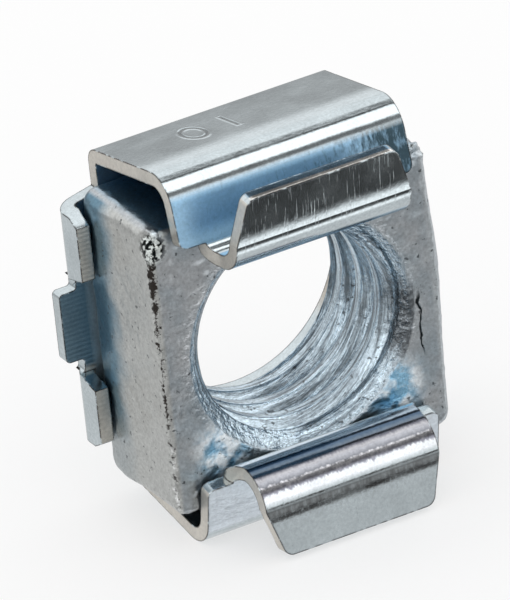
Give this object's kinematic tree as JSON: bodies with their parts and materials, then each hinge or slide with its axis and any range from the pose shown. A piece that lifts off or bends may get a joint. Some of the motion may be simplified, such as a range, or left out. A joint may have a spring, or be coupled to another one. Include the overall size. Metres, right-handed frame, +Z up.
{
  "type": "cage nut",
  "caption": "Square threaded nut held loosely in a folded spring-steel cage with two bent ears that clip it into a square panel hole.",
  "frame": {"origin": "on the thread's axis, halfway through the thickness of the square nut", "axes": "+Y into the nut from its front face towards the cage's back plate, +Z up across the folded strip, X along the width of the strip"},
  "size_m": [0.0154, 0.0098, 0.0165],
  "materials": {
    "cage": "bright blue-white zinc plated spring steel, rolled grain",
    "square_nut": "blue-white zinc plated steel, duller, with pits and sheared edges"
  },
  "bodies": {
    "root": {"cage": "cage", "square_nut": "square_nut"}
  },
  "joints": []
}
